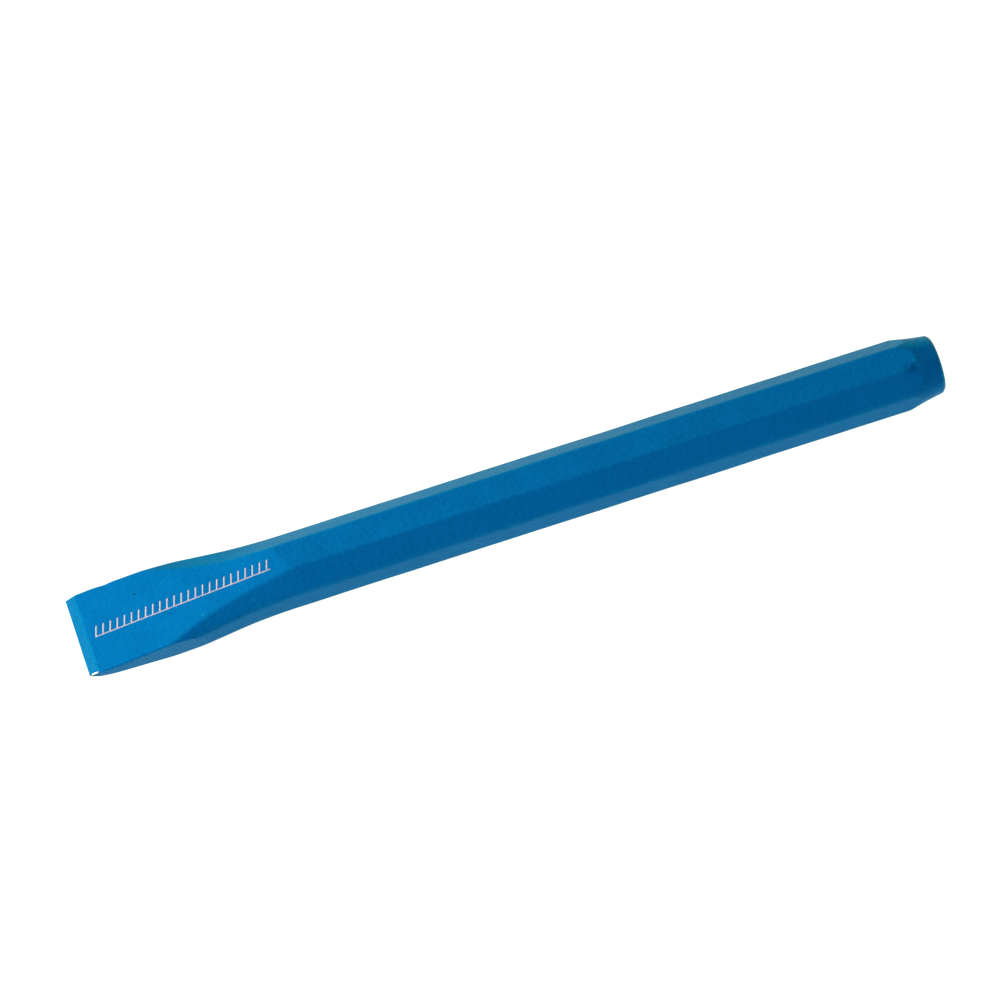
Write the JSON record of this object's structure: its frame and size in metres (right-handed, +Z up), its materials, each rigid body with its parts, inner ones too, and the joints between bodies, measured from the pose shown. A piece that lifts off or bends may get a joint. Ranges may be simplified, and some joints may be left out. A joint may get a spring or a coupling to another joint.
{
  "type": "cold chisel",
  "caption": "Octagonal forged steel cold chisel with a wide wedge-ground blade, a bevelled cutting edge and a tapered striking head, under a thin lacquer coat.",
  "frame": {"origin": "on the surface the chisel lies on, under the middle of its length and width", "axes": "+X along the bar from the cutting edge to the striking head, +Y across the blade's width, +Z up, square to the blade's upper flat"},
  "size_m": [0.25, 0.024, 0.019],
  "materials": {
    "bare_steel": "forged and ground steel, seen only where the lacquer has chipped",
    "blue_lacquer": "satin blue lacquer with a fine orange-peel texture",
    "pale_ink": "thin matt printing ink"
  },
  "bodies": {
    "root": {"forged_bar": "bare_steel", "lacquer_coat": "blue_lacquer", "print_mark": "pale_ink"}
  },
  "joints": []
}
